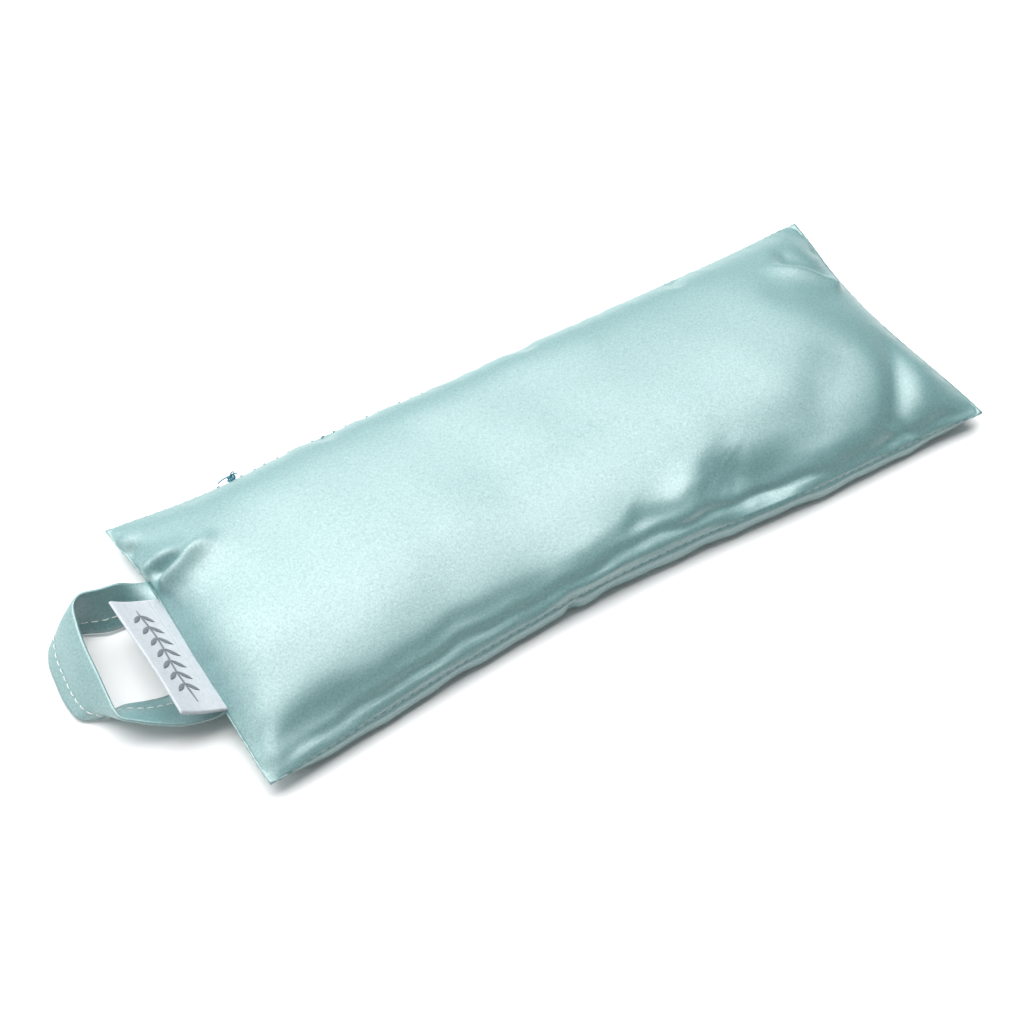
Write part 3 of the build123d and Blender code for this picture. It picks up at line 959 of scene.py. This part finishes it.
# ---- seams ----
near_seam, far_seam, loop_seam, plain_seam = top_grid[0], top_grid[-1], top_grid[:, 0], top_grid[:, -1]
far_run = run_along(far_seam)
gap_start, gap_end = np.interp([CLOSING_START, CLOSING_END], far_seam[:, 0], far_run)
ROWS = {
    "near_side_stitching": seam_row(near_seam, 2, -2, (0, -1, 0)),
    "far_side_stitching": (
        seam_row(far_seam, 2, gap_start, (0, 1, 0)) + seam_row(far_seam, gap_end, -2, (0, 1, 0))
    ),
    "loop_end_stitching": seam_row(loop_seam, 2, -2, (-1, 0, 0)),
    "plain_end_stitching": seam_row(plain_seam, 2, -2, (1, 0, 0)),
}
for name, chunks in ROWS.items():
    place_piece(name + "_thread", *gather(chunks), SEAM_THREAD, "pillow", "seam_thread", name)

# whip stitches that close the filling gap by hand, and the knot left at their end
chunks = []
place = gap_start
chooser = np.random.default_rng(21)
while place < gap_end:
    lean = chooser.uniform(0.7, 1.2)
    above = at_length(place - lean, far_run, top_grid[-2])
    below = at_length(place + lean, far_run, bottom_grid[-2])
    edge = at_length(place, far_run, far_seam) + (0, 0.12, 0)
    arc = [above - (0, 0.4, 0.4), above + (0, 0.1, 0.12), edge, below + (0, 0.12, 0), below - (0, 0.4, -0.3)]
    chunks.append(tube(spline(arc, 12), CLOSING_THREAD_RADIUS))
    place += chooser.uniform(3.4, 4.4)
place_piece("closing_thread", *gather(chunks), TEAL_THREAD, "pillow", "teal_thread", "closing_stitches")

knot_at = at_length(gap_start + 4, far_run, far_seam) + (0, 0.5, 0.9)
turns = np.linspace(0, 2 * math.pi, 60)
loops = np.stack([
    (0.9 + 0.38 * np.cos(3 * turns)) * np.cos(2 * turns),
    (0.62 + 0.3 * np.cos(3 * turns)) * np.sin(2 * turns),
    0.6 * np.sin(3 * turns),
], 1)
chunks = [tube(knot_at + loops, 0.27, taper=False)]
for tail in (
    [(0, 0, 0), (-1.2, 0.5, 0.3), (-2.8, 0.5, 0), (-4.3, 0.2, -0.5)],
    [(0, 0, 0), (0.9, 0.5, 0.6), (1.7, 0.6, 0.5), (2.4, 0.4, 0.1)],
    [(0, 0, 0), (0.3, 0.7, 0.8), (1.1, 1, 1), (1.6, 0.9, 0.7)],
):
    chunks.append(tube(knot_at + spline(tail, 16), 0.2))
place_piece("closing_knot", *gather(chunks), TEAL_THREAD, "pillow", "teal_thread", "closing_thread_knot")

# ---- hanging loop ----
strap = strap_strip()
loop = place_piece("hanging_strap", *strap.mesh(), STRAP_SATIN, None, "satin_strap", "loop_strap")
face_outwards(loop)
strap_length = strap.run[-1]
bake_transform(loop)


def on_strap(side):
    """Where the stitches on one face of the strap lie, for running_stitch."""
    def point_at(place, depth):
        inwards = STITCH_ROW + 0.12 * math.sin(place / 5.0)
        surface = STRAP_HALF * strap.swell(place, inwards / STRAP_WIDTH, side) + 0.12
        return strap.at_run(place, inwards, side * (surface - depth))
    return point_at


chunks = []
for side in (-1, 1):
    chunks += running_stitch(on_strap(side), 4.2, strap_length - 4, STRAP_STITCH_PITCH, STRAP_THREAD_RADIUS)
    # the raw edges' overlock, a fine line along the hem
    hem = [strap.at_run(s, 0.15, side * 0.42) for s in np.arange(4.0, strap_length - 3.5, 0.8)]
    chunks.append(tube(hem, 0.09, 5))
# the thread's loose end at the near root
end = strap.at_run(strap_length - 3.0, 1.0, 0.6)
loose = [end, end + (-0.8, -0.9, 0.5), end + (-0.4, -2.2, 0.1), end + (0.9, -3.0, -0.4)]
chunks.append(tube(spline(loose, 14), STRAP_THREAD_RADIUS))
stitches = place_piece("strap_edge_stitches", *gather(chunks), WHITE_THREAD, None, "white_thread",
                       "loop_edge_stitching")
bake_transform(stitches)

# ---- label ----
tape = label_strip(LABEL_SPLIT, LABEL_REACH, LABEL_BOW)
label = place_piece("folded_label", *tape.mesh(), WOVEN_LABEL, None, "woven_label", "label")
face_outwards(label)
root = label_strip(-1.2, LABEL_SPLIT + 0.8, 0.0)      # from inside the seam to just under the flap
sewn = place_piece("label_sewn_edge", *root.mesh(), WOVEN_LABEL, None, "woven_label")
face_outwards(sewn)
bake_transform(sewn)
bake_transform(label)


def on_label(lengthwise, inwards, lift=0.0):
    """A point on the label's upper face, from its middle along it and from the seam outwards."""
    along, height = tape.run[-1] / 2 + lengthwise, LABEL_FACE * (LABEL_HALF + lift)
    return tape.at_run(along, inwards - LABEL_SPLIT, height)


def stem_place(lengthwise):
    """How far from the seam the sprig's stem lies: it winds a little along the label's middle."""
    return LABEL_REACH / 2 + 0.6 + 0.5 * math.sin(lengthwise / 4.0)


def leaf_sheet(root, side):
    """One leaf, thin and pointed, that leaves the stem at root towards one side."""
    length, breadth, lean = 4.8 - 0.05 * abs(root), 0.72, math.radians(52)
    leaf = np.zeros((6, 9, 3))
    for i, w in enumerate(np.linspace(-1, 1, 6)):
        for j, u in enumerate(np.linspace(0, 1, 9)):
            out, over = u * length, w * breadth * math.sin(math.pi * min(0.06 + 0.92 * u, 1.0)) ** 0.75
            along = root + out * math.cos(lean) - over * math.sin(lean)
            away = stem_place(root) + side * (out * math.sin(lean) + over * math.cos(lean) + 0.25)
            leaf[i, j] = on_label(along, away, 0.14 - 0.08 * w * w)
    return thick_sheet(leaf, 0.16, side * LABEL_FACE)


stem = [on_label(s, stem_place(s), 0.05) for s in np.linspace(-16.5, 16.5, 70)]
chunks = [tube(stem, 0.3)]
for leaf_root in np.arange(-14.5, 13.5, 4.1):
    chunks += [leaf_sheet(leaf_root, side) for side in (-1, 1)]
motif = place_piece("label_sprig", *gather(chunks), LABEL_YARN, None, "label_yarn", "label_woven_motif")
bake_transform(motif)

# ---- inside ----
POUCH_GAP = 1.9          # between the cover's outer face and the pouch
SEED_GAP = 2.9
SEED_INSET = POUCH_INSET + 1.5
BUDS = 170
EVERY = 3                # the pouch follows every third row and column of the cover


def inner_grid(grid, gap, inset, outwards):
    """The cover's grid drawn inwards by gap, and away from its seams by inset."""
    small = grid[::EVERY, ::EVERY]
    small = small - normals_of(smooth_grid(small, 2)) * gap * outwards
    middle_y = small[..., 1].mean()
    small[..., 0] *= 1 - inset / HALF_LENGTH
    small[..., 1] = middle_y + (small[..., 1] - middle_y) * (1 - inset / HALF_WIDTH)
    return small


def join_borders(top, bottom):
    """Brings the borders of two grids together halfway between them."""
    middle = (top + bottom) / 2
    for grid in (top, bottom):
        set_border(grid, middle)


def closed_pair(top, bottom):
    """One closed mesh from two grids that share their border."""
    rows, columns = top.shape[:2]
    join_borders(top, bottom)
    upper = grid_faces(rows, columns)
    points = np.vstack([top.reshape(-1, 3), bottom.reshape(-1, 3)])
    index = np.arange(rows * columns).reshape(rows, columns)
    lower = index + rows * columns
    set_border(lower, index)
    lower = lower.ravel()
    return points, upper + [tuple(int(lower[v]) for v in f[::-1]) for f in upper]


pouch_top = inner_grid(top_grid, POUCH_GAP, POUCH_INSET, 1)
pouch_bottom = inner_grid(bottom_grid, POUCH_GAP, POUCH_INSET, -1)
pouch_top[..., 2] = np.maximum(pouch_top[..., 2], pouch_bottom[..., 2] + 0.4)
join_borders(pouch_top, pouch_bottom)
for name, grid, outwards in (("inner_pouch_top", pouch_top, 1), ("inner_pouch_bottom", pouch_bottom, -1)):
    sheet = thick_sheet(grid, MUSLIN_CLOTH, outwards)
    pouch = place_piece(name + "_cloth", *sheet, MUSLIN, "pillow", "muslin", name)
ring = np.vstack([round_border(pouch_top), pouch_top[:1, 0]])
place_piece("inner_pouch_thread", *gather(seam_row(ring, 0, -0.1, (0, 0, 1))), MUSLIN_THREAD,
            "pillow", "muslin_thread", "inner_pouch_stitching")

seed_top = inner_grid(top_grid, SEED_GAP + 0.6, SEED_INSET, 1)
seed_bottom = inner_grid(bottom_grid, SEED_GAP, SEED_INSET, -1)
seed_top[..., 2] = np.maximum(seed_top[..., 2], seed_bottom[..., 2] + 0.3)
seed_top[..., 2] += np.random.default_rng(31).uniform(-0.22, 0.1, seed_top.shape[:2])
points, faces = closed_pair(seed_top, seed_bottom)
filling = place_piece("seed_fill", points, faces, SEED, "pillow", "flax_seed", "seed_filling")

# dried lavender buds, scattered over the seed under the pouch's top
chooser = np.random.default_rng(41)
chunks = []
while len(chunks) < BUDS:
    i, j = chooser.integers(6, seed_top.shape[0] - 6), chooser.integers(6, seed_top.shape[1] - 6)
    heading, dip = chooser.uniform(0, 2 * math.pi), chooser.uniform(-0.15, 0.15)
    way = np.array([math.cos(heading), math.sin(heading), dip])
    line = [seed_top[i, j] + (0, 0, 0.1) + way * s for s in (-1.6, -1.1, -0.2, 0.7, 1.3, 1.6)]
    chunks.append(tube(line, 0.45))
place_piece("lavender_bud_layer", *gather(chunks), LAVENDER, "pillow", "lavender", "lavender_buds")
